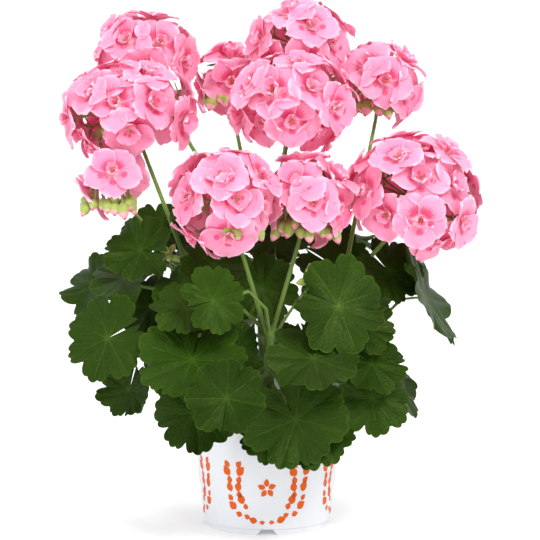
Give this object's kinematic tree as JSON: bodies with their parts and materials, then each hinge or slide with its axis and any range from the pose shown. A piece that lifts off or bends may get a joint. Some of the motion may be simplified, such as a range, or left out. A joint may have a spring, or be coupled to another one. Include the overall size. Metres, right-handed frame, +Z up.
{
  "type": "potted geranium",
  "caption": "Flowering zonal geranium with scalloped leaves and pink semi-double flower heads, growing in a round white plastic nursery pot.",
  "frame": {"origin": "centre of the pot's underside, on the plane that it stands on", "axes": "+Z up along the pot's axis; the side with the most open flower heads faces -Y"},
  "size_m": [0.305, 0.253, 0.3884],
  "materials": {
    "pot_plastic": "white moulded plastic with a printed leaf garland",
    "soil": "moist crumbly peat",
    "stalk": "fleshy, finely haired",
    "leaf": "velvety, veined",
    "petal": "soft, translucent",
    "bud": "finely haired sepals"
  },
  "bodies": {
    "root": {"pot": "pot_plastic", "potting_soil": "soil", "shoot_1": "stalk", "shoot_2": "stalk", "shoot_3": "stalk", "shoot_4": "stalk", "flower_head_1": "petal", "flower_head_2": "petal", "flower_head_3": "petal", "flower_head_4": "petal", "flower_head_5": "petal", "flower_head_6": "petal", "flower_head_7": "petal", "flower_head_8": "petal", "flower_head_9": "petal", "flower_head_10": "petal", "bud_cluster_1": "bud", "bud_cluster_2": "bud", "leaf_01": "leaf", "leaf_02": "leaf", "leaf_03": "leaf", "leaf_04": "leaf", "leaf_05": "leaf", "leaf_06": "leaf", "leaf_07": "leaf", "leaf_08": "leaf", "leaf_09": "leaf", "leaf_10": "leaf", "leaf_11": "leaf", "leaf_12": "leaf", "leaf_13": "leaf", "leaf_14": "leaf", "leaf_15": "leaf", "leaf_16": "leaf", "leaf_17": "leaf", "leaf_18": "leaf", "leaf_19": "leaf", "leaf_20": "leaf", "leaf_21": "leaf", "leaf_22": "leaf", "leaf_23": "leaf", "leaf_24": "leaf", "leaf_25": "leaf", "leaf_26": "leaf", "leaf_27": "leaf", "leaf_28": "leaf", "leaf_29": "leaf", "leaf_30": "leaf", "leaf_31": "leaf", "leaf_32": "leaf", "leaf_33": "leaf", "leaf_34": "leaf", "leaf_35": "leaf", "leaf_36": "leaf", "leaf_37": "leaf", "leaf_38": "leaf", "leaf_39": "leaf", "leaf_40": "leaf", "leaf_41": "leaf", "leaf_42": "leaf"}
  },
  "joints": []
}
